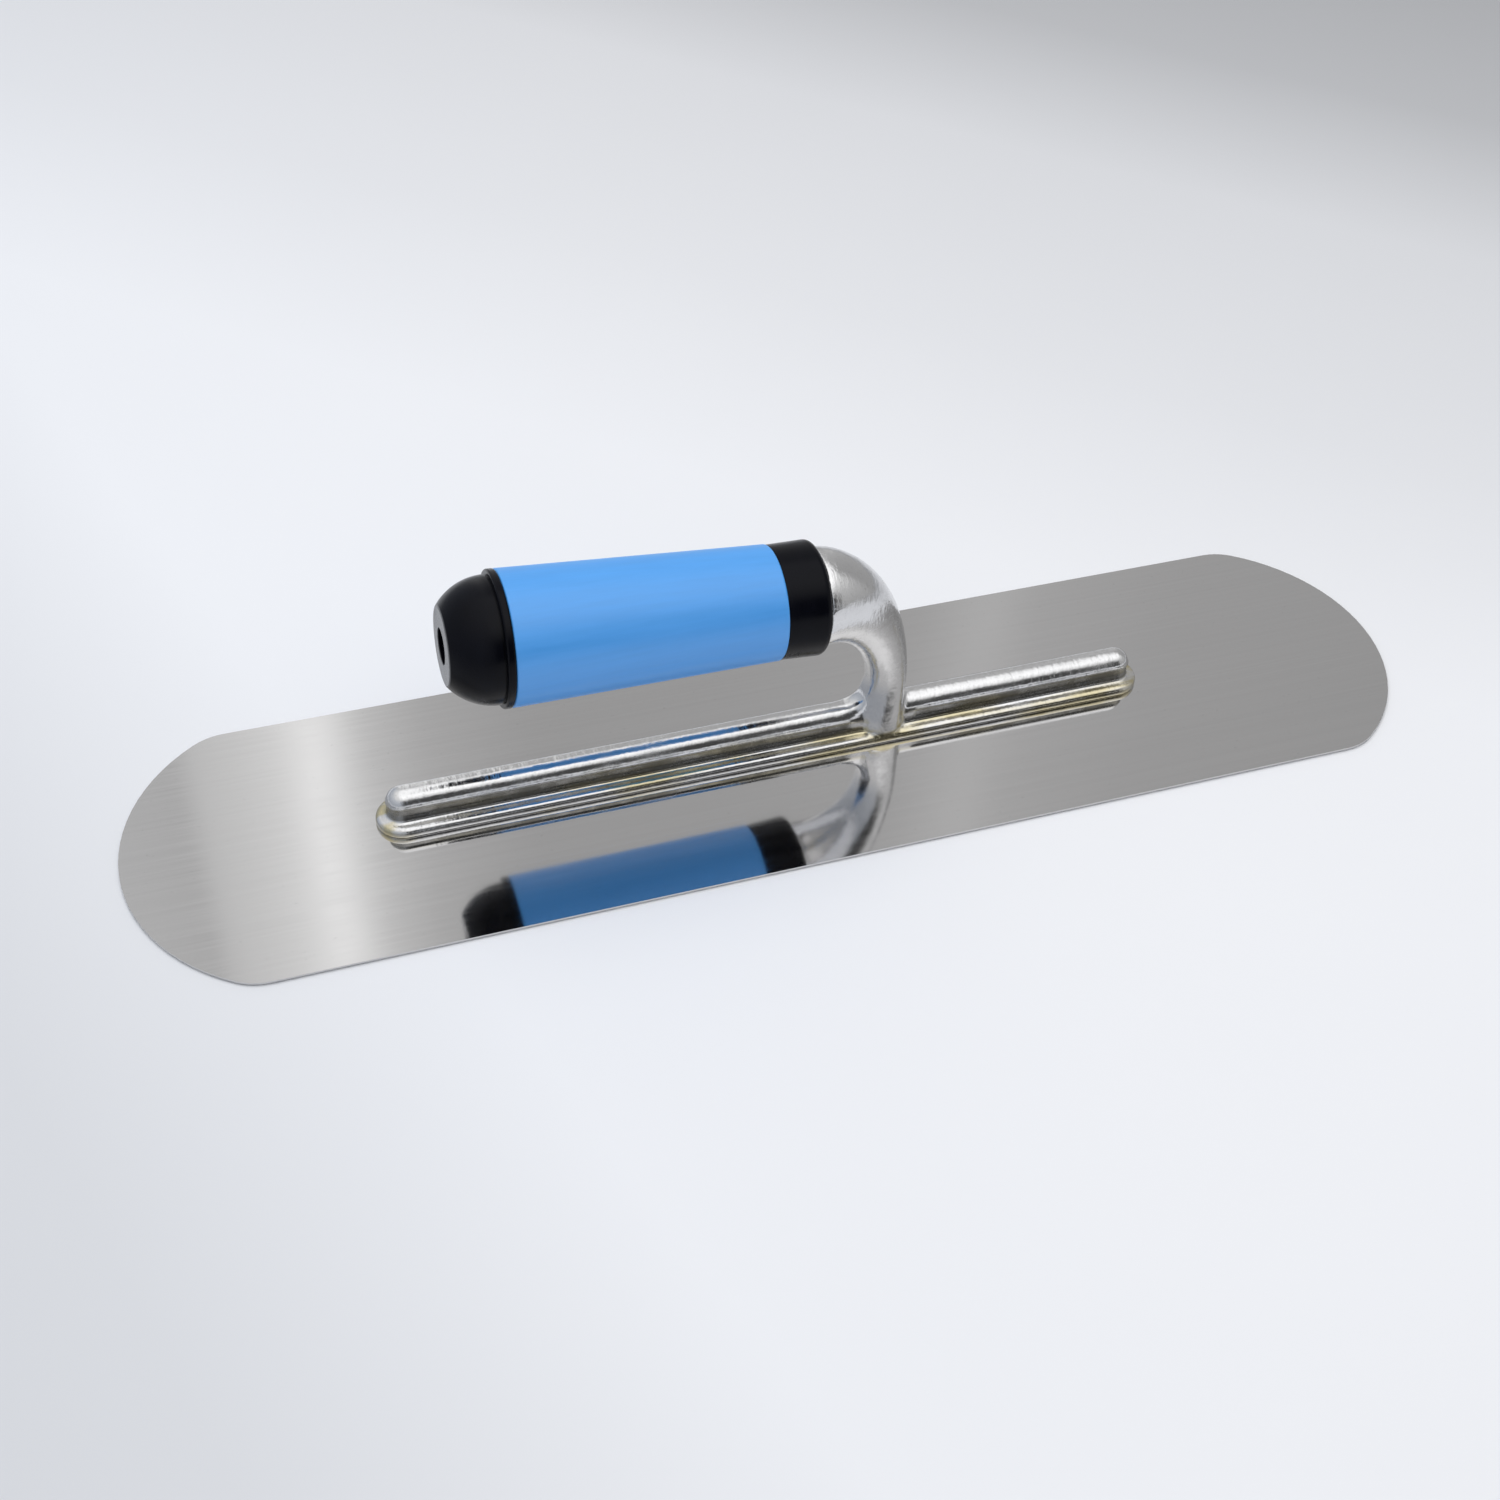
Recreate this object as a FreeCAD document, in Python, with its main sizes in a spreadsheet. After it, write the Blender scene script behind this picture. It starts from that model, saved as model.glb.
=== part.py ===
import FreeCAD, Part
import math
import os
import Sketcher
from FreeCAD import Vector

# Finishing trowel, millimetres. Origin: middle of the blade's underside. +X: towards the front end of
# the blade, away from the handle's cap. +Z: up, towards the handle.
DIMENSIONS = [
    ("blade_length", 400.0, "blade, tip to tip"),
    ("blade_width", 100.0, "blade, side to side"),
    ("blade_thickness", 0.7, "blade sheet"),
    ("blade_end_depth", 34.8, "tip to where the straight side ends"),
    ("blade_corner_radius", 17.0, "arc between the end arc and the straight side"),
    ("flange_rear", 128.5, "origin to the flange's rear tip"),
    ("flange_front", 114.0, "origin to the flange's front tip"),
    ("flange_width", 16.4, "flange, side to side"),
    ("flange_thickness", 3.0, "flange plate"),
    ("flange_edge_radius", 1.5, "round along the flange's top edge"),
    ("rib_inset", 3.3, "flange tip to rib tip"),
    ("rib_width", 9.2, "rib, side to side"),
    ("rib_height", 9.1, "rib above the flange"),
    ("rib_crest_radius", 4.5, "round along the rib's top edge"),
    ("neck_foot_x", 26.4, "origin to the middle of the gooseneck's foot"),
    ("neck_foot_depth", 15.4, "foot of the gooseneck, along the blade"),
    ("neck_foot_width", 15.8, "foot of the gooseneck, across the blade"),
    ("neck_post_x", 27.2, "origin to the middle of the upright post"),
    ("neck_post_height", 20.7, "slimmest place of the post above the blade's underside"),
    ("neck_post_depth", 12.6, "post at its slimmest, along the blade"),
    ("neck_post_width", 14.4, "post at its slimmest, across the blade"),
    ("neck_bend_forward", 12.4, "reach of the bend's curve ahead of the shoulder"),
    ("neck_bend_up", 19.0, "reach of the bend's curve above the slimmest place"),
    ("neck_hollow_radius", 6.0, "hollow between the post and the rear rib"),
    ("neck_hollow_width", 7.0, "web that carries the hollow"),
    ("shoulder_x", 2.5, "origin to the shoulder that the ferrule butts on"),
    ("shoulder_height", 57.4, "shoulder's middle above the blade's underside"),
    ("shoulder_diameter", 29.3, "gooseneck at the shoulder"),
    ("handle_pitch", 3.2, "rise of the handle towards the rear, degrees"),
    ("tang_diameter", 13.0, "tang inside the handle"),
    ("tang_play", 0.4, "diametral clearance of the tang in the core and the ferrule"),
    ("ferrule_length", 13.2, "front ferrule"),
    ("ferrule_sleeve_step", 0.4, "diameter of the ferrule below the sleeve's, where they meet"),
    ("ferrule_flare", 0.6, "diameter gained from the ferrule's rear to its front edge"),
    ("ferrule_edge_radius", 2.0, "round of the ferrule's front edge"),
    ("ferrule_face", 3.0, "wall of the ferrule in front of the core"),
    ("sleeve_length", 78.0, "grip sleeve"),
    ("sleeve_front_diameter", 33.6, "sleeve against the ferrule"),
    ("sleeve_rear_diameter", 38.7, "sleeve against the cap"),
    ("sleeve_wall", 4.0, "sleeve's thickness"),
    ("sleeve_edge_radius", 0.6, "round of the sleeve's outer end edges"),
    ("cap_rim_proud", 0.1, "diameter of the rim over the sleeve's, where they meet"),
    ("cap_rim_length", 2.3, "rim, along the handle"),
    ("cap_rim_edge_radius", 0.6, "round of the rim's edges"),
    ("cap_groove_length", 0.7, "groove behind the rim"),
    ("cap_groove_depth", 0.5, "groove below the start of the dome"),
    ("cap_rim_step", 1.35, "rim down to the dome, where the dome leaves the groove"),
    ("cap_dome_length", 13.6, "dome from the groove to the flat end"),
    ("cap_end_diameter", 22.3, "dome's corner with the flat end, before it is rounded"),
    ("cap_end_radius", 1.0, "round between the dome and the flat end"),
    ("recess_diameter", 10.4, "recess for the screw's head"),
    ("recess_depth", 9.0, "recess below the flat end"),
    ("spigot_diameter", 24.0, "core's ends, inside the ferrule and the cap"),
    ("spigot_play", 0.2, "diametral clearance of each spigot"),
    ("cap_seat_depth", 4.2, "rear spigot inside the cap"),
    ("core_end_wall", 4.0, "closed rear end of the core"),
    ("core_end_gap", 3.0, "tang's end to the inside of the core's closed end"),
    ("screw_diameter", 5.0, "handle screw"),
    ("screw_length", 30.0, "screw under its head"),
    ("screw_head_diameter", 8.5, "socket head"),
    ("screw_head_height", 5.0, "socket head"),
    ("screw_socket_across", 4.0, "hexagon socket, across its flats"),
    ("screw_socket_depth", 2.5, "hexagon socket"),
    ("screw_play", 0.5, "diametral clearance of the screw in the cap, the core and the washer"),
    ("tapped_extra", 4.0, "tapped hole beyond the screw's end"),
    ("thread_play", 0.1, "diametral clearance of the plain thread in its hole"),
    ("washer_diameter", 10.0, "washer under the head"),
    ("washer_thickness", 1.0, "washer"),
    ("rivet_count", 7, "rivets along the rib"),
    ("rivet_end_distance", 14.0, "flange tip to the last rivet"),
    ("rivet_diameter", 4.0, "rivet shank"),
    ("rivet_head_diameter", 6.8, "countersunk head at the blade's underside"),
    ("rivet_length", 8.5, "rivet, overall"),
    ("rivet_play", 0.1, "diametral and end clearance of each rivet in the casting"),
]

NECK_STATIONS = 7        # sections of the gooseneck, from the shoulder to the slimmest place
TAPER_EARLINESS = 0.85   # below 1, the gooseneck slims earlier in the bend
FULL_TURN = 360.0
HEXAGON = 6
TOUCHING = 1e-4

doc = FreeCAD.newDocument("finishing_trowel")


# ---------------------------------------------------------------- the sheet

def make_sheet():
    """The driving dimensions, one named cell each."""
    sheet = doc.addObject("Spreadsheet::Sheet", "Sizes")
    for row, (name, value, meaning) in enumerate(DIMENSIONS, start=1):
        sheet.set(f"A{row}", name)
        sheet.set(f"B{row}", str(value))
        sheet.set(f"C{row}", meaning)
        sheet.setAlias(f"B{row}", name)
    doc.recompute()
    return sheet


sheet = make_sheet()


def formula(text):
    """A formula on the sheet's cells, written with $ before each cell's name."""
    return text.replace("$", "Sizes.")


def value(text):
    result = sheet.evalExpression(formula(text))
    return float(getattr(result, "Value", result))


def bind(thing, path, text):
    thing.setExpression(path, formula(text))


# Places along the handle, measured from the shoulder towards the cap.
SLEEVE_START = "$ferrule_length"
CAP_START = f"({SLEEVE_START} + $sleeve_length)"
GROOVE_START = f"({CAP_START} + $cap_rim_length)"
DOME_START = f"({GROOVE_START} + $cap_groove_length)"
CAP_END = f"({DOME_START} + $cap_dome_length)"
RECESS_FLOOR = f"({CAP_END} - $recess_depth)"
CORE_END = f"({CAP_START} + $cap_seat_depth)"
TANG_END = f"({CORE_END} - $core_end_wall - $core_end_gap)"
WASHER_TOP = f"({RECESS_FLOOR} + $washer_thickness)"
SCREW_END = f"({WASHER_TOP} - $screw_length)"

# Heights above the blade's underside.
FLANGE_TOP = "($blade_thickness + $flange_thickness)"
RIB_TOP = f"({FLANGE_TOP} + $rib_height)"


# ---------------------------------------------------------------- sketch helpers

H_AXIS, V_AXIS, ORIGIN = -1, -2, (-1, 1)
START, END, CENTRE = 1, 2, 3


def new_body(label):
    body = doc.addObject("PartDesign::Body", label)
    body.Label = label
    return body


def attach_sketch(body, role, name, height="0"):
    """A sketch parallel to one of the body's own origin planes, at a height above it."""
    sketch = body.newObject("Sketcher::SketchObject", name)
    plane = next(feature for feature in body.Origin.OriginFeatures if feature.Role == role)
    sketch.AttachmentSupport = (plane, [""])
    sketch.MapMode = "FlatFace"
    bind(sketch, "AttachmentOffset.Base.z", height)
    doc.recompute()
    return sketch


def hold(sketch, text, kind, *where):
    """Add a dimensional constraint and bind it to the sheet."""
    index = sketch.addConstraint(Sketcher.Constraint(kind, *where, value(text)))
    name = f"size_{index}"
    sketch.renameConstraint(index, name)
    bind(sketch, f"Constraints.{name}", text)


def hold_along(sketch, kind, point, text):
    """Hold one coordinate of a point, DistanceX or DistanceY, at a formula of either sign."""
    place = value(text)
    if place == 0:
        axis = V_AXIS if kind == "DistanceX" else H_AXIS
        sketch.addConstraint(Sketcher.Constraint("PointOnObject", *point, axis))
    elif place > 0:
        hold(sketch, text, kind, *ORIGIN, *point)
    else:
        hold(sketch, f"-({text})", kind, *point, *ORIGIN)


def hold_point(sketch, point, x_text, y_text):
    hold_along(sketch, "DistanceX", point, x_text)
    hold_along(sketch, "DistanceY", point, y_text)


def draw_side(sketch, first, last, centre_x):
    """One side of a profile: a straight line, or an arc where the distance of its centre is given.

    Returns the sketch's names for the side's two ends."""
    start, end = (Vector(value(corner[0]), value(corner[1]), 0) for corner in (first, last))
    if centre_x is None:
        index = sketch.addGeometry(Part.LineSegment(start, end))
        return (index, START), (index, END)
    across = value(centre_x)
    middle = (start + end) / 2
    chord = end - start
    centre = Vector(across, middle.y - (across - middle.x) * chord.x / chord.y, 0)
    radius = (start - centre).Length
    angles = [math.atan2(point.y - centre.y, point.x - centre.x) for point in (end, start)]
    circle = Part.Circle(centre, Vector(0, 0, 1), radius)
    index = sketch.addGeometry(Part.ArcOfCircle(circle, *angles))
    hold_along(sketch, "DistanceX", (index, CENTRE), centre_x)
    return (index, END), (index, START)


def draw_profile(sketch, corners):
    """A closed profile through corners of two formulas each.

    A third formula makes the side after the corner a clockwise arc and places the arc's centre."""
    count = len(corners)
    sides = []
    for index, corner in enumerate(corners):
        centre_x = corner[2] if len(corner) > 2 else None
        sides.append(draw_side(sketch, corner, corners[(index + 1) % count], centre_x))
    for index, corner in enumerate(corners):
        sketch.addConstraint(Sketcher.Constraint("Coincident", *sides[index - 1][1], *sides[index][0]))
        hold_point(sketch, sides[index][0], *corner[:2])


def turn_profile(body, corners):
    """Turn a profile of (distance, radius) corners about the body's X axis."""
    sketch = attach_sketch(body, "XZ_Plane", f"{body.Label}_profile")
    draw_profile(sketch, corners)
    turned = body.newObject("PartDesign::Revolution", f"{body.Label}_turned")
    turned.Profile = sketch
    turned.ReferenceAxis = (sketch, ["H_Axis"])
    turned.Angle = FULL_TURN
    doc.recompute()


def pad_sketch(body, sketch, thickness):
    pad = body.newObject("PartDesign::Pad", f"{sketch.Name}_pad")
    pad.Profile = sketch
    bind(pad, "Length", thickness)
    doc.recompute()


def round_edges(body, name, radius, chosen):
    """Round the edges of the body's tip that a test picks."""
    base = body.Tip
    edges = [f"Edge{n}" for n, edge in enumerate(base.Shape.Edges, start=1) if chosen(edge)]
    rounded = body.newObject("PartDesign::Fillet", f"{body.Label}_{name}")
    rounded.Base = (base, edges)
    bind(rounded, "Radius", radius)
    doc.recompute()


def ring_at(*places):
    """A test for the circular edges of a turned body at (distance, radius) places."""
    wanted = [(value(distance), value(radius)) for distance, radius in places]

    def chosen(edge):
        if not isinstance(edge.Curve, Part.Circle):
            return False
        ring = (edge.Curve.Center.x, edge.Curve.Radius)
        return any(math.dist(ring, place) < TOUCHING for place in wanted)
    return chosen


def level_edge(height):
    """A test for the edges that lie at one height."""
    level = value(height)

    def chosen(edge):
        box = edge.BoundBox
        return abs(box.ZMin - level) < TOUCHING and abs(box.ZMax - level) < TOUCHING
    return chosen


# ---------------------------------------------------------------- blade and rivets

def draw_blade_outline(sketch):
    """Two straight sides and two end arcs, joined by four corner arcs."""
    side_end = "($blade_length / 2 - $blade_end_depth)"
    corner_y = "($blade_width / 2 - $blade_corner_radius)"
    end_radius = (f"(($blade_end_depth ^ 2 + {corner_y} ^ 2 - $blade_corner_radius ^ 2)"
                  " / (2 * ($blade_end_depth - $blade_corner_radius)))")
    end_x = f"($blade_length / 2 - {end_radius})"
    x, y, half = value(side_end), value(corner_y), value("$blade_width / 2")
    lean = math.atan2(y, x - value(end_x))

    def add_arc(centre, radius, start, end):
        circle = Part.Circle(Vector(*centre, 0), Vector(0, 0, 1), value(radius))
        index = sketch.addGeometry(Part.ArcOfCircle(circle, start, end))
        hold(sketch, radius, "Radius", index)
        return index

    quarter = math.pi / 2
    front = add_arc((value(end_x), 0), end_radius, -lean, lean)
    rear = add_arc((-value(end_x), 0), end_radius, math.pi - lean, math.pi + lean)
    far_front = add_arc((x, y), "$blade_corner_radius", lean, quarter)
    far_rear = add_arc((-x, y), "$blade_corner_radius", quarter, math.pi - lean)
    near_rear = add_arc((-x, -y), "$blade_corner_radius", math.pi + lean, 3 * quarter)
    near_front = add_arc((x, -y), "$blade_corner_radius", -quarter, -lean)
    far_side = sketch.addGeometry(Part.LineSegment(Vector(x, half, 0), Vector(-x, half, 0)))
    near_side = sketch.addGeometry(Part.LineSegment(Vector(-x, -half, 0), Vector(x, -half, 0)))
    loop = [front, far_front, far_side, far_rear, rear, near_rear, near_side, near_front]
    for index, piece in enumerate(loop):
        following = loop[(index + 1) % len(loop)]
        sketch.addConstraint(Sketcher.Constraint("Tangent", piece, END, following, START))
    for corner, x_sign, y_sign in ((far_front, "", ""), (far_rear, "-", ""),
                                   (near_rear, "-", "-"), (near_front, "", "-")):
        hold_point(sketch, (corner, CENTRE), x_sign + side_end, y_sign + corner_y)


def rivet_places():
    """Formulas for the rivets' places along the blade, evenly spaced."""
    first = "($rivet_end_distance - $flange_rear)"
    last = "($flange_front - $rivet_end_distance)"
    count = round(value("$rivet_count"))
    return [f"({first} + ({last} - {first}) * {n} / ({count} - 1))" for n in range(count)]


def round_piece(kind, name, place, bottom, height, *radii):
    """A cylinder or a cone that stands on a height, at a place along the blade."""
    piece = doc.addObject(f"Part::{kind}", name)
    for label, radius in zip(("Radius",) if kind == "Cylinder" else ("Radius1", "Radius2"), radii):
        bind(piece, label, radius)
    bind(piece, "Height", height)
    bind(piece, "Placement.Base.x", place)
    bind(piece, "Placement.Base.z", bottom)
    return piece


HEAD_RADIUS = "($rivet_head_diameter / 2)"
HEAD_TOP_RADIUS = f"({HEAD_RADIUS} - $blade_thickness)"


def group(name, pieces, kind="Part::Compound"):
    whole = doc.addObject(kind, name)
    if kind == "Part::Compound":
        whole.Links = pieces
    else:
        whole.Shapes = pieces
    whole.Label = name
    return whole


def cut(name, base, tool):
    whole = doc.addObject("Part::Cut", name)
    whole.Base, whole.Tool = base, tool
    whole.Label = name
    return whole


def make_blade():
    body = new_body("blade_sheet")
    sketch = attach_sketch(body, "XY_Plane", "blade_outline")
    draw_blade_outline(sketch)
    pad_sketch(body, sketch, "$blade_thickness")
    sinks = [round_piece("Cone", f"countersink_{n}", place, "0", "$blade_thickness",
                         HEAD_RADIUS, HEAD_TOP_RADIUS)
             for n, place in enumerate(rivet_places(), start=1)]
    return cut("blade", body, group("countersinks", sinks))


def make_rivets():
    """Countersunk rivets, flush with the underside of the blade."""
    rivets = []
    for n, place in enumerate(rivet_places(), start=1):
        head = round_piece("Cone", f"rivet_head_{n}", place, "0", "$blade_thickness",
                           HEAD_RADIUS, HEAD_TOP_RADIUS)
        shank = round_piece("Cylinder", f"rivet_shank_{n}", place, "$blade_thickness",
                            "$rivet_length - $blade_thickness", "$rivet_diameter / 2")
        rivets.append(group(f"rivet_{n}", [head, shank], "Part::MultiFuse"))
    return group("blade_rivets", rivets)


# ---------------------------------------------------------------- spine casting

def draw_slot(sketch, rear, front, width):
    """A long outline with round ends; rear is behind the origin, front ahead of it."""
    radius = f"({width} / 2)"
    rear_x, front_x, half = (value(text) for text in
                             (f"{radius} - {rear}", f"{front} - {radius}", radius))
    quarter = math.pi / 2
    up = Vector(0, 0, 1)
    far = sketch.addGeometry(Part.LineSegment(Vector(front_x, half, 0), Vector(rear_x, half, 0)))
    near = sketch.addGeometry(Part.LineSegment(Vector(rear_x, -half, 0), Vector(front_x, -half, 0)))
    rear_end = sketch.addGeometry(
        Part.ArcOfCircle(Part.Circle(Vector(rear_x, 0, 0), up, half), quarter, 3 * quarter))
    front_end = sketch.addGeometry(
        Part.ArcOfCircle(Part.Circle(Vector(front_x, 0, 0), up, half), -quarter, quarter))
    loop = [far, rear_end, near, front_end]
    for index, piece in enumerate(loop):
        sketch.addConstraint(
            Sketcher.Constraint("Tangent", piece, END, loop[(index + 1) % len(loop)], START))
    for end, place in ((rear_end, f"{radius} - {rear}"), (front_end, f"{front} - {radius}")):
        hold_point(sketch, (end, CENTRE), place, "0")
        hold(sketch, radius, "Radius", end)


def make_foot():
    """The flange that lies on the blade and the rib on it."""
    body = new_body("casting_foot")
    flange = attach_sketch(body, "XY_Plane", "flange_outline", "$blade_thickness")
    draw_slot(flange, "$flange_rear", "$flange_front", "$flange_width")
    pad_sketch(body, flange, "$flange_thickness")
    round_edges(body, "flange_edge", "$flange_edge_radius", level_edge(FLANGE_TOP))
    rib = attach_sketch(body, "XY_Plane", "rib_outline", FLANGE_TOP)
    draw_slot(rib, "($flange_rear - $rib_inset)", "($flange_front - $rib_inset)", "$rib_width")
    pad_sketch(body, rib, "$rib_height")
    round_edges(body, "rib_crest", "$rib_crest_radius", level_edge(RIB_TOP))
    return body


def neck_section(name, x, z, turn, depth, width):
    """One oval section across the gooseneck; turn is 90 at an upright face and 180 at a level one."""
    oval = doc.addObject("Part::Ellipse", name)
    bind(oval, "MajorRadius", f"max({width}; {depth}) / 2")
    bind(oval, "MinorRadius", f"{depth} / 2")
    bind(oval, "Placement", f"placement(vector({x}; 0; {z});"
                            f" rotation(vector(0; 1; 0); {turn}) * rotation(vector(0; 0; 1); 90))")
    return oval


def bend_sections():
    """Sections along a curve that leaves the shoulder along the handle and ends straight down."""
    start = ("$shoulder_x", "$shoulder_height")
    end = ("$neck_post_x", "$neck_post_height")
    first = ("($shoulder_x + $neck_bend_forward * cos($handle_pitch))",
             "($shoulder_height - $neck_bend_forward * sin($handle_pitch))")
    second = ("$neck_post_x", "($neck_post_height + $neck_bend_up)")
    points = (start, first, second, end)
    sections = []
    for n in range(NECK_STATIONS):
        t = n / (NECK_STATIONS - 1)
        weights = ((1 - t) ** 3, 3 * (1 - t) ** 2 * t, 3 * (1 - t) * t ** 2, t ** 3)
        steps = ((1 - t) ** 2, 2 * (1 - t) * t, t ** 2)
        x, z = (" + ".join(f"{weight:.6f} * {point[k]}" for weight, point in zip(weights, points))
                for k in (0, 1))
        run, rise = ("(" + " + ".join(f"{step:.6f} * ({b[k]} - {a[k]})" for step, a, b in
                                      zip(steps, points, points[1:])) + ")" for k in (0, 1))
        share = (1 + math.cos(math.pi * t ** TAPER_EARLINESS)) / 2
        depth, width = (f"({share:.6f} * $shoulder_diameter + {1 - share:.6f} * {post})"
                        for post in ("$neck_post_depth", "$neck_post_width"))
        sections.append(neck_section(f"neck_section_{n + 1}", x, z,
                                     f"(90 deg + atan2(-{rise}; {run}))", depth, width))
    return sections


def make_neck():
    sections = bend_sections()
    sections.append(neck_section("neck_foot", "$neck_foot_x", "($blade_thickness + $flange_thickness / 2)",
                                 "180 deg", "$neck_foot_depth", "$neck_foot_width"))
    neck = doc.addObject("Part::Loft", "gooseneck")
    neck.Sections = sections
    neck.Solid = True
    return neck


def make_hollow():
    """The web whose concave arc joins the rear rib to the post."""
    body = new_body("neck_hollow")
    sketch = attach_sketch(body, "XZ_Plane", "hollow_outline")
    post_rear = "($neck_post_x - $neck_post_depth / 2)"
    arc_rear = f"({post_rear} - $neck_hollow_radius)"
    arc_top = f"({RIB_TOP} + $neck_hollow_radius)"
    draw_profile(sketch, [("$neck_post_x", arc_top), (post_rear, arc_top, arc_rear),
                          (arc_rear, RIB_TOP), (arc_rear, FLANGE_TOP), ("$neck_post_x", FLANGE_TOP)])
    pad_sketch(body, sketch, "$neck_hollow_width")
    body.Tip.SideType = "Symmetric"
    doc.recompute()
    return body


def make_tang():
    """The tang with the tapped hole for the handle screw in its end."""
    body = new_body("tang")
    half_tang = "($tang_diameter / 2)"
    hole_end = f"({SCREW_END} - $tapped_extra)"
    hole_radius = "(($screw_diameter + $thread_play) / 2)"
    turn_profile(body, [(f"(-{half_tang})", "0"), (f"(-{half_tang})", half_tang), (TANG_END, half_tang),
                        (TANG_END, hole_radius), (hole_end, hole_radius), (hole_end, "0")])
    along_handle(body)
    return body


def make_casting():
    holes = [round_piece("Cylinder", f"rivet_hole_{n}", place, "$blade_thickness",
                         "$rivet_length - $blade_thickness + $rivet_play",
                         "($rivet_diameter + $rivet_play) / 2")
             for n, place in enumerate(rivet_places(), start=1)]
    solid = group("casting_solid", [make_foot(), make_neck(), make_hollow(), make_tang()],
                  "Part::MultiFuse")
    return cut("spine_casting", solid, group("rivet_holes", holes))


# ---------------------------------------------------------------- handle

TANG_BORE = "(($tang_diameter + $tang_play) / 2)"
SCREW_BORE = "(($screw_diameter + $screw_play) / 2)"
SPIGOT = "($spigot_diameter / 2)"
SPIGOT_BORE = "(($spigot_diameter + $spigot_play) / 2)"
SLEEVE_FRONT = "($sleeve_front_diameter / 2)"
SLEEVE_REAR = "($sleeve_rear_diameter / 2)"
FERRULE_REAR = f"({SLEEVE_FRONT} - $ferrule_sleeve_step / 2)"
FERRULE_FRONT = f"({FERRULE_REAR} + $ferrule_flare / 2)"
CAP_RIM = f"({SLEEVE_REAR} + $cap_rim_proud / 2)"
CAP_DOME = f"({CAP_RIM} - $cap_rim_step)"


def along_handle(thing):
    """Lay a piece along the handle: its X axis starts at the shoulder and runs to the cap."""
    bind(thing, "Placement", "placement(vector($shoulder_x; 0; $shoulder_height);"
                             " rotation(vector(0; 1; 0); 180 + $handle_pitch))")


def handle_body(label, corners):
    body = new_body(label)
    turn_profile(body, corners)
    along_handle(body)
    return body


def make_ferrule():
    ferrule = handle_body("front_ferrule", [
        ("0", TANG_BORE), ("0", FERRULE_FRONT), (SLEEVE_START, FERRULE_REAR),
        (SLEEVE_START, SPIGOT_BORE), ("$ferrule_face", SPIGOT_BORE), ("$ferrule_face", TANG_BORE)])
    round_edges(ferrule, "front_edge", "$ferrule_edge_radius", ring_at(("0", FERRULE_FRONT)))
    return ferrule


def make_sleeve():
    sleeve = handle_body("grip_sleeve", [
        (SLEEVE_START, f"({SLEEVE_FRONT} - $sleeve_wall)"), (SLEEVE_START, SLEEVE_FRONT),
        (CAP_START, SLEEVE_REAR), (CAP_START, f"({SLEEVE_REAR} - $sleeve_wall)")])
    round_edges(sleeve, "end_edges", "$sleeve_edge_radius",
                ring_at((SLEEVE_START, SLEEVE_FRONT), (CAP_START, SLEEVE_REAR)))
    return sleeve


def make_core():
    return handle_body("handle_core", [
        ("$ferrule_face", TANG_BORE), ("$ferrule_face", SPIGOT), (SLEEVE_START, SPIGOT),
        (SLEEVE_START, f"({SLEEVE_FRONT} - $sleeve_wall)"),
        (CAP_START, f"({SLEEVE_REAR} - $sleeve_wall)"), (CAP_START, SPIGOT), (CORE_END, SPIGOT),
        (CORE_END, SCREW_BORE), (f"({CORE_END} - $core_end_wall)", SCREW_BORE),
        (f"({CORE_END} - $core_end_wall)", TANG_BORE)])


def make_cap():
    """The domed cap: a rim against the sleeve, a groove, the dome and a recess for the screw."""
    groove, edge = f"({CAP_DOME} - $cap_groove_depth)", "($cap_end_diameter / 2)"
    recess = "($recess_diameter / 2)"
    cap = handle_body("end_cap", [
        (CAP_START, CAP_RIM), (GROOVE_START, CAP_RIM), (GROOVE_START, groove), (DOME_START, groove),
        (DOME_START, CAP_DOME, DOME_START), (CAP_END, edge), (CAP_END, recess), (RECESS_FLOOR, recess),
        (RECESS_FLOOR, SCREW_BORE), (CORE_END, SCREW_BORE), (CORE_END, SPIGOT_BORE),
        (CAP_START, SPIGOT_BORE)])
    round_edges(cap, "end_round", "$cap_end_radius", ring_at((CAP_END, edge)))
    round_edges(cap, "rim_round", "$cap_rim_edge_radius",
                ring_at((CAP_START, CAP_RIM), (GROOVE_START, CAP_RIM)))
    return cap


def make_screw():
    """Socket-head cap screw, with its thread drawn plain."""
    head_end = f"({WASHER_TOP} + $screw_head_height)"
    screw = handle_body("handle_screw", [
        (SCREW_END, "0"), (SCREW_END, "($screw_diameter / 2)"), (WASHER_TOP, "($screw_diameter / 2)"),
        (WASHER_TOP, "($screw_head_diameter / 2)"), (head_end, "($screw_head_diameter / 2)"),
        (head_end, "0")])
    sketch = attach_sketch(screw, "YZ_Plane", "socket_outline", head_end)
    corner = "($screw_socket_across / sqrt(3))"
    draw_profile(sketch, [(f"({corner} * cos({FULL_TURN * n / HEXAGON}))",
                           f"({corner} * sin({FULL_TURN * n / HEXAGON}))") for n in range(HEXAGON)])
    socket = screw.newObject("PartDesign::Pocket", "socket")
    socket.Profile = sketch
    bind(socket, "Length", "$screw_socket_depth")
    doc.recompute()
    return screw


def make_washer():
    return handle_body("screw_washer", [
        (RECESS_FLOOR, SCREW_BORE), (RECESS_FLOOR, "($washer_diameter / 2)"),
        (WASHER_TOP, "($washer_diameter / 2)"), (WASHER_TOP, SCREW_BORE)])


# ---------------------------------------------------------------- build, check and export

def check_document(nodes):
    """Stop if an object failed or a sub-part is not a valid shape."""
    for thing in doc.Objects:
        if "Invalid" in thing.State or "Error" in thing.State:
            raise RuntimeError(f"{thing.Label} failed: {thing.State} {thing.getStatusString()}")
    for node in nodes:
        if node.Shape.isNull() or not node.Shape.isValid():
            raise RuntimeError(f"{node.Label} has no valid shape")


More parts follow.
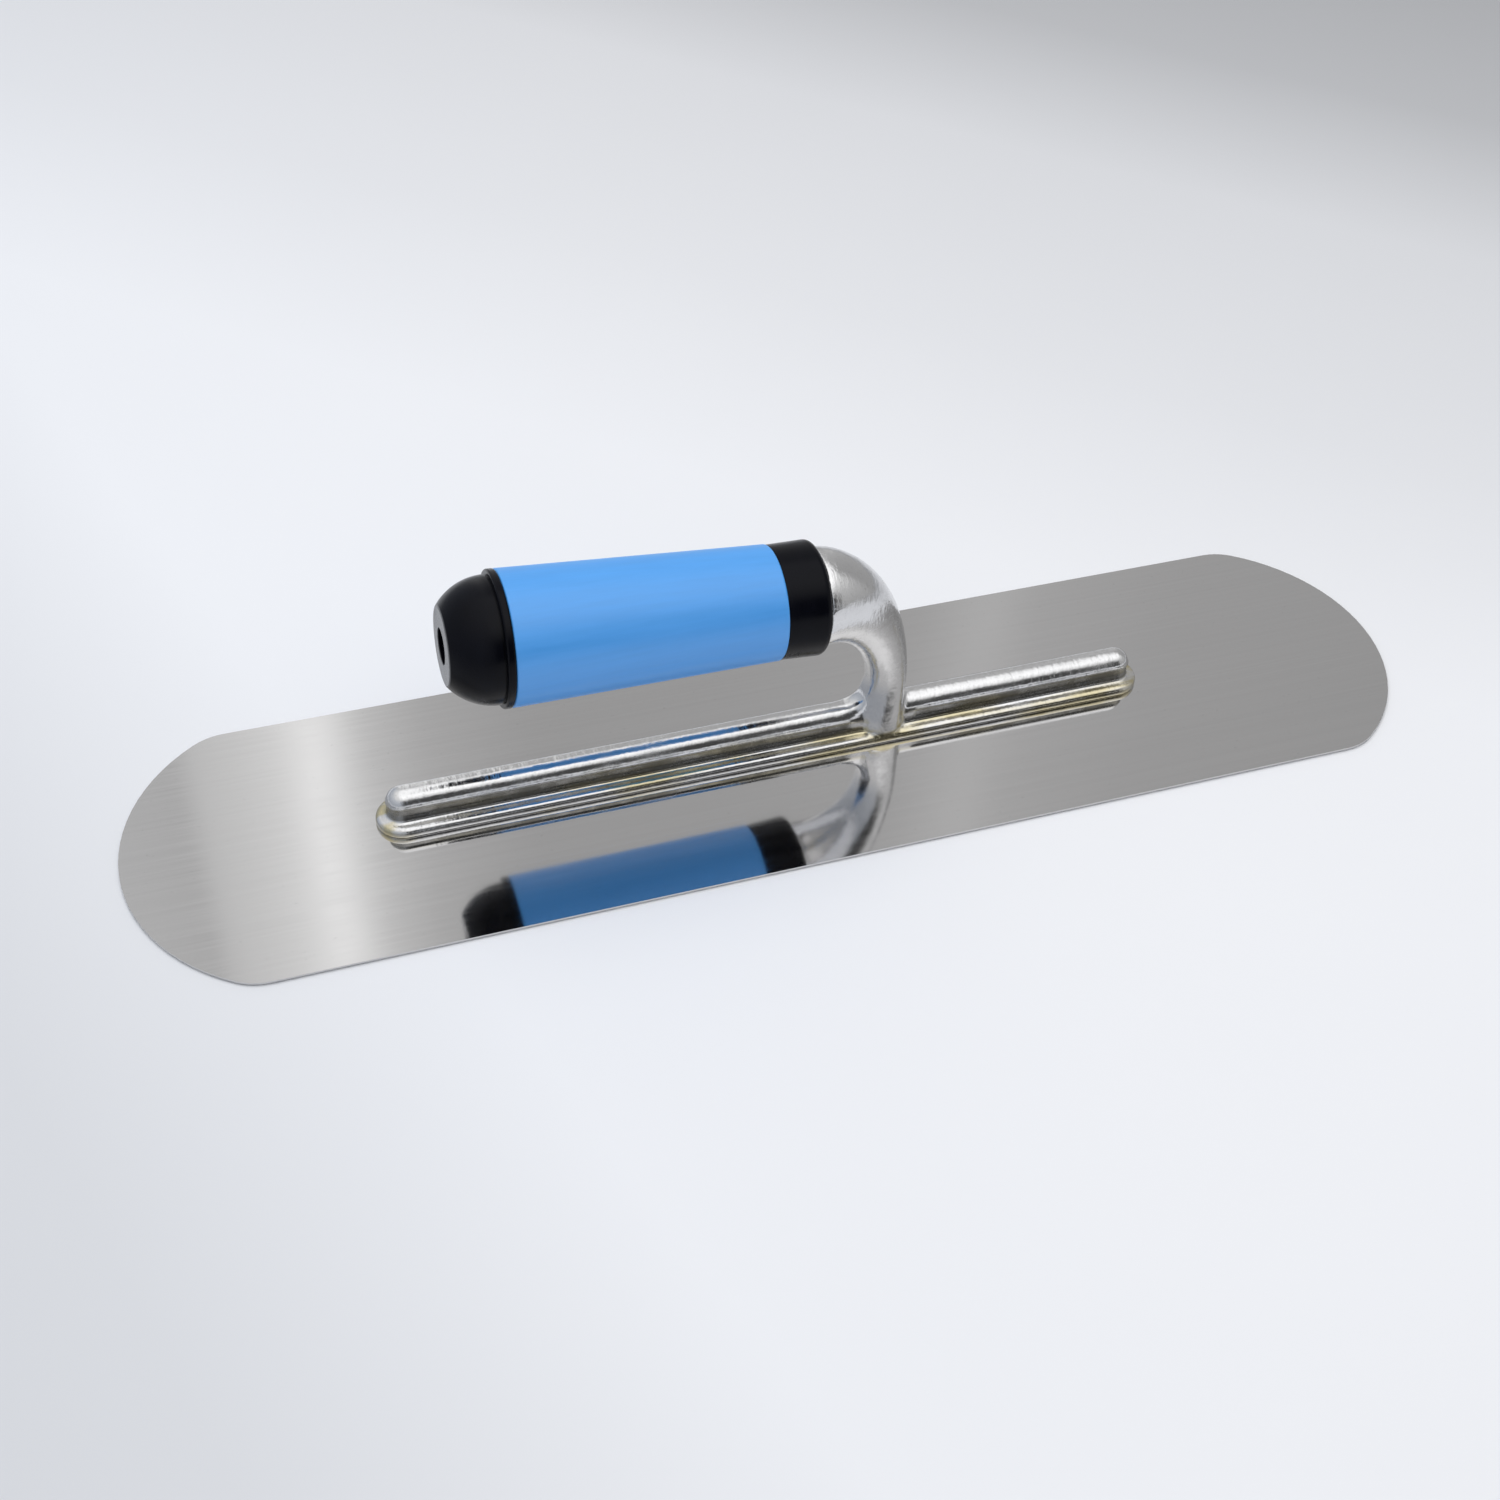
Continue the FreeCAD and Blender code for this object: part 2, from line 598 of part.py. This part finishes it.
def export(nodes):
    os.makedirs("parts", exist_ok=True)
    for node in nodes:
        node.Shape.exportStep(f"parts/{node.Label}.step")
        box = node.Shape.BoundBox
        print(f"{node.Label}: {len(node.Shape.Solids)} solid(s), {node.Shape.Volume:.0f} mm3, "
              f"x {box.XMin:.1f} to {box.XMax:.1f}, z {box.ZMin:.1f} to {box.ZMax:.1f}")


nodes = [make_blade(), make_casting(), make_rivets(), make_core(), make_ferrule(), make_sleeve(),
         make_cap(), make_washer(), make_screw()]
doc.recompute()
check_document(nodes)
export(nodes)
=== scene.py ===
import math

import bpy
import numpy as np
from mathutils import Matrix, Vector, noise


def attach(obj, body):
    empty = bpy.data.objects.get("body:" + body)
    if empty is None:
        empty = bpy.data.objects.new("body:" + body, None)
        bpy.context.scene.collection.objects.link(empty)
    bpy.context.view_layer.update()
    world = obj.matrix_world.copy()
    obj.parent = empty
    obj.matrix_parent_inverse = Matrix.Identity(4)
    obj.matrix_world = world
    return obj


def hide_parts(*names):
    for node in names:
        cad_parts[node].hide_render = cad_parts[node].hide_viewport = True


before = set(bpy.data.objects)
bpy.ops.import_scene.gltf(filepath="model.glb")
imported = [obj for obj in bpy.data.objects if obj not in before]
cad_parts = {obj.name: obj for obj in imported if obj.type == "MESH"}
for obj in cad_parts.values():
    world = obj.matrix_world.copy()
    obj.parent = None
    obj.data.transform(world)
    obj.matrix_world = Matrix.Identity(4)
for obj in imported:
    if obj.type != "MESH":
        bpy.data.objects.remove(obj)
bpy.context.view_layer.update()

MM = 0.001
MICRON = 1e-6
HANDLE_TILT = math.radians(3.2)          # the handle rises towards its rear end
REARWARD = Vector((-math.cos(HANDLE_TILT), 0.0, math.sin(HANDLE_TILT)))
NECK_FOOT = 26.2 * MM                    # x of the middle of the gooseneck's foot
scene = bpy.context.scene


# ---------------------------------------------------------------- node helpers

class Graph:
    """A short way to write node trees: every call but set returns a node or output sockets."""

    def __init__(self, tree):
        self.tree = tree

    def node(self, kind, inputs=(), **settings):
        n = self.tree.nodes.new(kind)
        for key, value in settings.items():
            setattr(n, key, value)
        for name, value in dict(inputs).items():
            self.set(n, name, value)
        return n

    def set(self, n, name, value):
        socket = n.inputs[name]
        if isinstance(value, bpy.types.NodeSocket):
            self.tree.links.new(value, socket)
        else:
            socket.default_value = value

    def math(self, operation, a, b=0.0):
        return self.node("ShaderNodeMath", {0: a, 1: b}, operation=operation).outputs[0]

    def plus(self, a, b):
        return self.math("ADD", a, b)

    def times(self, a, b):
        return self.math("MULTIPLY", a, b)

    def axes(self, vector):
        return self.node("ShaderNodeSeparateXYZ", {"Vector": vector}).outputs

    def remap(self, value, low, high, to_low=0.0, to_high=1.0, kind="LINEAR"):
        inputs = {"Value": value, "From Min": low, "From Max": high,
                  "To Min": to_low, "To Max": to_high}
        n = self.node("ShaderNodeMapRange", inputs, interpolation_type=kind, clamp=True)
        return n.outputs["Result"]

    def step(self, value, low, high):
        """0 at low, 1 at high and smooth between; low may be the larger of the two."""
        return self.remap(value, low, high, kind="SMOOTHSTEP")

    def noise(self, vector, scale, detail=2.0, roughness=0.5):
        inputs = {"Vector": vector, "Scale": scale, "Detail": detail, "Roughness": roughness}
        return self.node("ShaderNodeTexNoise", inputs).outputs["Fac"]

    def streaks(self, vector, scale, detail, roughness=0.5, turn=0.0):
        """Noise drawn out along the axis that has the smallest scale."""
        inputs = {"Vector": vector, "Scale": scale, "Rotation": (0.0, turn, 0.0)}
        drawn_out = self.node("ShaderNodeMapping", inputs).outputs["Vector"]
        return self.noise(drawn_out, 1.0, detail, roughness)

    def mix(self, factor, a, b):
        return self.node("ShaderNodeMix", {0: factor, 6: a, 7: b}, data_type="RGBA").outputs[2]

    def bump(self, height, distance, normal=None):
        inputs = {"Height": height, "Distance": distance, "Strength": 1.0}
        if normal is not None:
            inputs["Normal"] = normal
        return self.node("ShaderNodeBump", inputs).outputs["Normal"]

    def ramp(self, value, stops):
        """Stops are (place, level), where a level is a grey or a colour."""
        n = self.node("ShaderNodeValToRGB", {"Fac": value})
        elements = n.color_ramp.elements
        while len(elements) > 1:
            elements.remove(elements[-1])
        for k, (place, level) in enumerate(stops):
            element = elements[0] if k == 0 else elements.new(place)
            element.position = place
            element.color = (*level, 1.0) if isinstance(level, tuple) else grey(level)
        return n.outputs["Color"]


def grey(level):
    return (level, level, level, 1.0)


def material(name, look, **constants):
    mat = bpy.data.materials.new(name)
    mat.use_nodes = True
    graph = Graph(mat.node_tree)
    shader = mat.node_tree.nodes["Principled BSDF"]
    for key, value in constants.items():
        shader.inputs[key.replace("_", " ")].default_value = value
    place = graph.node("ShaderNodeTexCoord").outputs["Object"]
    for socket_name, socket in look(graph, place).items():
        graph.set(shader, socket_name, socket)
    return mat


def wear(obj, mat):
    obj.data.materials.clear()
    obj.data.materials.append(mat)


# ---------------------------------------------------------------- materials
# Scales are per metre. Noise lies mostly between 0.3 and 0.7, which the remaps stretch.

STEEL_DARK, STEEL_LIGHT = (0.605, 0.600, 0.600, 1), (0.640, 0.635, 0.635, 1)
ALUMINIUM, ALUMINIUM_STAIN = (0.70, 0.70, 0.705, 1), (0.60, 0.54, 0.36, 1)
# Dark colour for the painted shade in the recess under the bead.
ALUMINIUM_PAINTED_SHADE = (0.17, 0.162, 0.135, 1)
BLUE_DARK, BLUE_LIGHT = (0.062, 0.350, 0.86, 1), (0.076, 0.388, 0.93, 1)
BLUE_SPECK = (0.02, 0.05, 0.12, 1)
BLACK_DARK, BLACK_LIGHT = (0.0014, 0.0017, 0.0036, 1), (0.0028, 0.0032, 0.0064, 1)
# Paler grey painted on the cap's flat end: a painted reflection.
BLACK_PAINTED_SHEEN = (0.13, 0.132, 0.138, 1)
CORE_DARK, CORE_LIGHT = (0.035, 0.035, 0.037, 1), (0.05, 0.05, 0.052, 1)
ZINC_DARK, ZINC_LIGHT = (0.50, 0.52, 0.55, 1), (0.62, 0.63, 0.64, 1)
FLOOR_DARK, FLOOR_LIGHT = (0.86, 0.87, 0.90, 1), (0.875, 0.885, 0.915, 1)
FLOOR_PAINTED_COOL_LIGHT = (0.79, 0.82, 0.875, 1)


def steel_look(g, place):
    """Rolled and polished stainless sheet: streaks along the blade, faint clouds, small specks."""
    rolled = g.streaks(place, (6.0, 900.0, 900.0), 4.0, 0.6)
    crossing = g.streaks(place, (700.0, 14.0, 1.0), 3.0)
    clouds = g.noise(place, 22.0, 3.0)
    specks = g.remap(g.noise(place, 900.0, 2.0, 0.6), 0.70, 0.76)
    tone = g.plus(g.remap(rolled, 0.3, 0.7, -0.6, 0.6), g.remap(crossing, 0.3, 0.7, -0.08, 0.08))
    colour = g.mix(g.remap(tone, -1.0, 1.0), STEEL_DARK, STEEL_LIGHT)
    colour = g.mix(g.times(specks, 0.30), colour, grey(0.40))
    roughness = g.plus(g.remap(rolled, 0.35, 0.75, 0.04, 0.085),
                       g.remap(clouds, 0.4, 0.7, 0.0, 0.03))
    return {"Base Color": colour, "Roughness": roughness, "Normal": g.bump(rolled, 0.25 * MICRON)}


def casting_look(g, place):
    """Polished aluminium casting: satin patches, warm stains and polishing marks along the spine.

    The recess under the bead gets painted shade: a band of dark colour runs along it. The band's
    extra roughness is metal the polishing wheel doesn't reach. The band stops short of the
    gooseneck's foot.
    """
    along, _, level = g.axes(place)
    marks = g.streaks(place, (60.0, 700.0, 700.0), 4.0, 0.6)
    chatter = g.streaks(place, (520.0, 170.0, 170.0), 3.0, 0.6)
    patches = g.noise(place, 120.0, 4.0, 0.55)
    grain = g.noise(place, 1100.0, 3.0, 0.6)
    speckle = g.remap(g.noise(place, 1700.0, 2.0, 0.6), 0.60, 0.70)
    stain = g.times(g.remap(g.streaks(place, (30.0, 240.0, 240.0), 5.0), 0.45, 0.60),
                    g.step(level, 11 * MM, 6 * MM))
    recess = g.times(g.step(level, 9.2 * MM, 8.2 * MM), g.step(level, 4 * MM, 5 * MM))
    from_neck = g.math("ABSOLUTE", g.math("SUBTRACT", along, NECK_FOOT))
    recess = g.times(recess, g.step(from_neck, 9 * MM, 13 * MM))
    dull_and_painted_shade = g.times(recess, g.remap(patches, 0.25, 0.6, 0.45, 1.0))
    colour = g.mix(stain, ALUMINIUM, ALUMINIUM_STAIN)
    colour = g.mix(g.times(speckle, 0.35), colour, grey(0.42))
    # Painted shade: the band under the bead is mixed towards a dark colour; the added roughness
    # below is the unpolished metal.
    colour = g.mix(g.times(dull_and_painted_shade, 0.85), colour, ALUMINIUM_PAINTED_SHADE)
    roughness = g.plus(g.remap(patches, 0.35, 0.7, 0.09, 0.22), g.remap(marks, 0.4, 0.7, 0.0, 0.10))
    roughness = g.plus(roughness, g.times(dull_and_painted_shade, 0.10))
    broad = g.bump(chatter, 140 * MICRON, g.bump(patches, 130 * MICRON))
    fine = g.bump(g.plus(g.times(grain, 1.3), marks), 16 * MICRON, broad)
    return {"Base Color": colour, "Roughness": roughness, "Normal": fine}


def sleeve_look(g, place):
    """Satin blue plastic: fine streaks lengthwise and a few dark specks."""
    lengthwise = g.streaks(place, (16.0, 420.0, 420.0), 4.0, 0.6, HANDLE_TILT)
    fine = g.noise(place, 1800.0, 2.0)
    cells = g.node("ShaderNodeTexVoronoi", {"Vector": place, "Scale": 55.0}).outputs["Distance"]
    speck = g.remap(cells, 0.02, 0.035, 1.0, 0.0)
    colour = g.mix(g.remap(lengthwise, 0.3, 0.7), BLUE_DARK, BLUE_LIGHT)
    colour = g.mix(g.times(speck, 0.55), colour, BLUE_SPECK)
    return {"Base Color": colour, "Roughness": g.remap(lengthwise, 0.3, 0.7, 0.36, 0.48),
            "Normal": g.bump(g.plus(lengthwise, g.times(fine, 0.3)), 18 * MICRON)}


def black_look(g, place):
    """Moulded near-black plastic: satin with a fine even grain and faint handling marks."""
    grain = g.noise(place, 2600.0, 2.0, 0.6)
    smears = g.streaks(place, (90.0, 40.0, 40.0), 4.0, 0.6)
    return {"Base Color": g.mix(g.remap(smears, 0.35, 0.7), BLACK_DARK, BLACK_LIGHT),
            "Roughness": g.remap(smears, 0.3, 0.7, 0.20, 0.29), "Normal": g.bump(grain, 6 * MICRON)}


def cap_look(g, place):
    """The black plastic, with a painted reflection: the flat end is painted a paler grey."""
    look = black_look(g, place)
    x, _, z = g.axes(place)
    rearward = g.plus(g.times(x, REARWARD.x), g.times(z, REARWARD.z))
    end = max(REARWARD.dot(v.co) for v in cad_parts["end_cap"].data.vertices)
    # Painted reflection: the flat end is painted a patchy paler grey in place of its sheen.
    painted_sheen = g.step(rearward, end - 0.35 * MM, end - 0.10 * MM)
    patchy = g.remap(g.noise(place, 260.0, 3.0), 0.3, 0.7, 0.75, 1.0)
    look["Base Color"] = g.mix(g.times(painted_sheen, patchy), look["Base Color"], BLACK_PAINTED_SHEEN)
    return look


def core_look(g, place):
    """Dark moulded plastic inside the handle, matt and slightly mottled."""
    grain = g.noise(place, 1500.0, 2.0, 0.6)
    return {"Base Color": g.mix(g.remap(grain, 0.3, 0.7), CORE_DARK, CORE_LIGHT),
            "Roughness": g.remap(grain, 0.3, 0.7, 0.55, 0.7)}


def zinc_look(g, place):
    """Zinc-plated steel with a fine spangle."""
    spangle = g.noise(place, 900.0, 3.0, 0.6)
    return {"Base Color": g.mix(g.remap(spangle, 0.35, 0.65), ZINC_DARK, ZINC_LIGHT),
            "Roughness": g.remap(spangle, 0.3, 0.7, 0.25, 0.4),
            "Normal": g.bump(spangle, 8 * MICRON)}


def rivet_look(g, place):
    """Rivet heads dressed flush with the blade: straight marks from the grinding."""
    marks = g.streaks(place, (40.0, 1500.0, 1.0), 4.0, 0.6)
    return {"Base Color": g.mix(g.remap(marks, 0.3, 0.7), grey(0.50), grey(0.60)),
            "Roughness": g.remap(marks, 0.3, 0.7, 0.16, 0.3), "Normal": g.bump(marks, 4 * MICRON)}


# Painted shade on the floor: darker far off to the right and towards the near left.
FLOOR_FAR_PAINTED_SHADE = [(0.0, 1.0), (0.15, 0.98), (0.32, 0.87), (0.54, 0.78), (0.72, 0.56), (1.0, 0.45)]
FLOOR_NEAR_LEFT_PAINTED_SHADE = [(0.0, 1.0), (0.13, 1.0), (0.25, 0.83), (0.5, 0.72)]


def floor_look(g, place):
    """Pale backdrop: painted cool light to the left, painted shade far off to the right and near
    left.
    """
    x, y, _ = g.axes(place)
    far = g.plus(y, g.times(x, 0.9))
    near_left = g.plus(g.times(x, -1.0), g.times(y, -0.3))
    # Painted shade: the floor darkens far off to the right and towards the near left.
    light = g.times(g.ramp(far, FLOOR_FAR_PAINTED_SHADE), g.ramp(near_left, FLOOR_NEAR_LEFT_PAINTED_SHADE))
    pale = g.mix(g.remap(g.noise(place, 3.0, 3.0), 0.35, 0.65), FLOOR_DARK, FLOOR_LIGHT)
    # Painted light: a cool tint to the left.
    pale = g.mix(g.step(x, 0.1, -0.6), pale, FLOOR_PAINTED_COOL_LIGHT)
    return {"Base Color": g.mix(light, grey(0.0), pale)}


# ---------------------------------------------------------------- the casting in detail

VOXEL = 0.4 * MM
NORMALS_EVERY = 5                # rounds before the normals are worked out again
FILLET_ROUNDS = 10
HOLLOW_ROUNDS = 70               # the web between the post and the rear rib is blended far more
POLISH_ROUNDS = 8
PARTING_HEIGHT = 8.6 * MM        # level of the bead's widest place
RIDGE = 0.20 * MM                # how far the parting line stands out
OVERHANG = 0.22 * MM             # how far the metal under the bead is set back


def remeshed(source, name):
    obj = bpy.data.objects.new(name, source.data.copy())
    scene.collection.objects.link(obj)
    remesh = obj.modifiers.new("voxels", "REMESH")
    remesh.mode = "VOXEL"
    remesh.voxel_size = VOXEL
    remesh.use_smooth_shade = True
    bpy.context.view_layer.update()
    evaluated = obj.evaluated_get(bpy.context.evaluated_depsgraph_get())
    mesh = bpy.data.meshes.new_from_object(evaluated)
    obj.modifiers.clear()
    obj.data = mesh
    return obj


class Skin:
    """A mesh's points as arrays, with the averaging that polishing needs."""

    def __init__(self, mesh):
        self.mesh = mesh
        self.co = np.empty(len(mesh.vertices) * 3)
        mesh.vertices.foreach_get("co", self.co)
        self.co = self.co.reshape(-1, 3)
        edges = np.empty(len(mesh.edges) * 2, int)
        mesh.edges.foreach_get("vertices", edges)
        self.a, self.b = edges[0::2], edges[1::2]
        self.degree = np.bincount(edges, minlength=len(self.co))[:, None].clip(1)

    def pull(self):
        """From each point to the average of its neighbours."""
        count = len(self.co)
        total = np.stack([np.bincount(self.a, self.co[self.b, k], count) +
                          np.bincount(self.b, self.co[self.a, k], count) for k in range(3)], 1)
        return total / self.degree - self.co

    def write(self):
        self.mesh.vertices.foreach_set("co", self.co.ravel())
        self.mesh.update()

    def normals(self):
        self.write()
        n = np.empty(len(self.co) * 3, np.float32)
        self.mesh.vertex_normals.foreach_get("vector", n)
        return n.reshape(-1, 3).astype(float)


def soft_step(x, low, high):
    t = np.clip((x - low) / (high - low), 0, 1)
    return t * t * (3 - 2 * t)


def window(x, opens, full, closes, shut):
    """1 from full to closes, 0 before opens and after shut; the four are in millimetres."""
    return soft_step(x, opens * MM, full * MM) * soft_step(-x, -shut * MM, -closes * MM)


def fill_corners(skin):
    """Fillets in the inner corners above the flange's foot, outside the rib's buried middle."""
    _, y, z = skin.co.T
    shown = (z > 1.2 * MM) & (z < 30 * MM) & ~((abs(y) < 2.5 * MM) & (z < 9.4 * MM))
    for k in range(FILLET_ROUNDS):
        if k % NORMALS_EVERY == 0:
            n = skin.normals()
        lift = (skin.pull() * n).sum(1).clip(0) * shown
        skin.co += 0.9 * lift[:, None] * n


def blend_hollow(skin):
    """Melts the web behind the gooseneck's foot into the post and the rib."""
    x, _, z = skin.co.T
    hollow = window(x, 7, 12, 22.5, 25) * window(z, 9.6, 11, 20, 25)
    for k in range(HOLLOW_ROUNDS):
        if k % NORMALS_EVERY == 0:
            n = skin.normals()
        pull = skin.pull()
        out = (pull * n).sum(1)
        skin.co += hollow[:, None] * (0.5 * pull + 0.4 * out.clip(0)[:, None] * n)


def soften_edges(skin):
    for _ in range(POLISH_ROUNDS):
        skin.co += 0.5 * skin.pull()


def point_noise(points, scale, shift=(0, 0, 0)):
    return np.array([noise.noise(Vector(p)) for p in points * scale + shift])


def cast_details(skin):
    """The bead's overhang and its parting line, and the slight waves of a hand-polished casting."""
    n = skin.normals()
    x, _, z = skin.co.T
    side = soft_step(abs(n[:, 2]), 0.55, 0.25) * soft_step(z, 5.2 * MM, 6.2 * MM) * (z < 11 * MM)
    off_neck = 1 - window(x, 14, 17, 35.5, 37.5)
    under = OVERHANG * soft_step(PARTING_HEIGHT - z, -0.1 * MM, 0.35 * MM)
    ridge = RIDGE * np.exp(-((z - PARTING_HEIGHT - 0.1 * MM) / (0.28 * MM)) ** 2)
    push = (ridge - under) * side * off_neck
    wave = point_noise(skin.co, (70, 130, 110))
    ripple = point_noise(skin.co, (240, 420, 380), (9, 0, 0))
    push += (0.045 * wave + 0.012 * ripple) * MM * soft_step(z, 1.0 * MM, 3.0 * MM)
    skin.co += push[:, None] * n


def detailed_casting():
    piece = remeshed(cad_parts["spine_casting"], "spine_casting_detail")
    skin = Skin(piece.data)
    for work in (fill_corners, blend_hollow, soften_edges, cast_details):
        work(skin)
    skin.write()
    piece.data.shade_smooth()
    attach(piece, "root")
    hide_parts("spine_casting")
    return piece


# ---------------------------------------------------------------- surroundings

CAMERA_PLACE = (-0.1641, -0.4226, 0.4308)
CAMERA_AXES = ((0.94220, -0.32999, 0.05799),
               (-0.18533, -0.65753, -0.73028),
               (0.27912, 0.67732, -0.68068))   # right, down, ahead
PICTURE = 1500.0                 # the picture's side, in its own pixels
FOCAL = 2038.0                   # in the same pixels
AXIS_PLACE = (79.0, -28.0)       # optical axis from the picture's middle, right and down
SENSOR = 36.0
NEAREST = 0.01                   # the camera sees nothing nearer
FLOOR_REACH = 4.0
FLOOR_DROP = 0.4 * MM            # keeps the floor clear of the blade's underside
KEY_PLACE = (-0.2, 0.5, 1.6)
KEY_SIZE = (1.6, 1.2)
KEY_POWER = 7.0

# What the metal mirrors: (degrees, brightness), by azimuth for the back wall and by elevation
# for the side the camera is on.
BACK_WALL = [(-90, 0.62), (-4, 0.62), (-2.7, 0.60), (-2.5, 0.28), (-2.3, 0.55), (-2.1, 0.58),
             (-1.9, 0.28), (-1.7, 0.78), (0, 0.86), (1.6, 0.98), (3, 1.32), (4.6, 0.80),
             (7, 0.60), (11, 0.49), (18, 0.49), (25, 0.52), (27.8, 0.66), (29.5, 0.56),
             (34, 0.50), (45, 0.45), (90, 0.38)]
DARK_FRONT = [(-90, 0.08), (0, 0.07), (26, 0.07), (34, 0.15), (42, 0.80), (50, 1.15), (62, 1.5),
              (90, 1.4)]
# By height, from the horizon at 0 to overhead at 1.
LEFT_SIDE = [(0.0, (0.42, 0.45, 0.50)), (0.35, (0.60, 0.63, 0.68)), (0.6, 0.90), (1.0, 1.3)]
RIGHT_SIDE = [(0.0, 0.42), (0.35, 0.60), (0.7, 1.2), (1.0, 1.3)]
CEILING = (1.35, 1.35, 1.36, 1)


def add_camera():
    data = bpy.data.cameras.new("camera")
    data.sensor_width = SENSOR
    data.lens = SENSOR * FOCAL / PICTURE
    data.shift_x = -AXIS_PLACE[0] / PICTURE
    data.shift_y = AXIS_PLACE[1] / PICTURE
    data.clip_start = NEAREST
    camera = bpy.data.objects.new("camera", data)
    right, down, ahead = (Vector(v) for v in CAMERA_AXES)
    turn = Matrix((right, -down, -ahead)).transposed().to_4x4()
    camera.matrix_world = Matrix.Translation(CAMERA_PLACE) @ turn
    scene.collection.objects.link(camera)
    scene.camera = camera


def add_floor():
    mesh = bpy.data.meshes.new("floor")
    signs = ((-1, -1), (1, -1), (1, 1), (-1, 1))
    mesh.from_pydata([(a * FLOOR_REACH, b * FLOOR_REACH, 0) for a, b in signs], [], [(0, 1, 2, 3)])
    floor = bpy.data.objects.new("floor", mesh)
    floor.location.z = -FLOOR_DROP
    scene.collection.objects.link(floor)
    wear(floor, material("floor", floor_look, Roughness=0.9, Specular_IOR_Level=0.1))


def add_key_light():
    """A large soft lamp high behind the object; the metal mirrors the studio, not the lamp."""
    data = bpy.data.lights.new("key", "AREA")
    data.shape = "RECTANGLE"
    data.size, data.size_y = KEY_SIZE
    data.energy = KEY_POWER
    light = bpy.data.objects.new("key", data)
    light.location = KEY_PLACE
    light.rotation_euler = (-Vector(KEY_PLACE)).to_track_quat("-Z", "Y").to_euler()
    light.visible_glossy = False
    light.visible_camera = False
    scene.collection.objects.link(light)


def degrees_ramp(g, angle, stops):
    return g.ramp(g.remap(angle, -90, 90), [((a + 90) / 180, level) for a, level in stops])


def add_world():
    """The studio that lights the floor and shows in the metal.

    Behind the object is a grey wall with one bright strip, and overhead a bright ceiling. The
    camera's side is dark up to about 34 degrees, but only in a window in front of the object:
    to its left and right the room is bright, or the blade would turn black from other angles.
    """
    world = bpy.data.worlds.new("studio")
    scene.world = world
    world.use_nodes = True
    g = Graph(world.node_tree)
    x, y, z = g.axes(g.node("ShaderNodeTexCoord").outputs["Generated"])
    azimuth = g.times(g.math("ARCTAN2", x, y), 180 / math.pi)
    rise = g.times(g.math("ARCSINE", z), 180 / math.pi)
    height = g.remap(rise, 0, 90)
    back = g.mix(g.step(rise, 50, 64), degrees_ramp(g, azimuth, BACK_WALL), CEILING)
    front = g.mix(g.step(x, 0.44, 0.60), degrees_ramp(g, rise, DARK_FRONT),
                  g.ramp(height, RIGHT_SIDE))
    room = g.mix(g.step(y, -0.25, 0.2), front, back)
    room = g.mix(g.step(x, 0.03, -0.26), room, g.ramp(height, LEFT_SIDE))
    background = world.node_tree.nodes["Background"]
    g.set(background, "Color", room)
    background.inputs["Strength"].default_value = 1.0


add_camera()
add_floor()
add_world()
add_key_light()
scene.view_settings.view_transform = "Standard"

casting = detailed_casting()
wear(casting, material("polished_aluminium", casting_look, Metallic=1.0))

zinc = material("zinc_steel", zinc_look, Metallic=1.0)
LOOKS = {
    "blade": material("blade_steel", steel_look, Metallic=1.0),
    "blade_rivets": material("rivet_steel", rivet_look, Metallic=1.0),
    "handle_core": material("core_plastic", core_look),
    "grip_sleeve": material("blue_grip", sleeve_look, Specular_IOR_Level=0.95),
    "front_ferrule": material("black_plastic", black_look, Specular_IOR_Level=0.11),
    "end_cap": material("black_cap", cap_look, Specular_IOR_Level=0.11),
    "screw_washer": zinc,
    "handle_screw": zinc,
}
for node_name, mat in LOOKS.items():
    wear(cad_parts[node_name], mat)
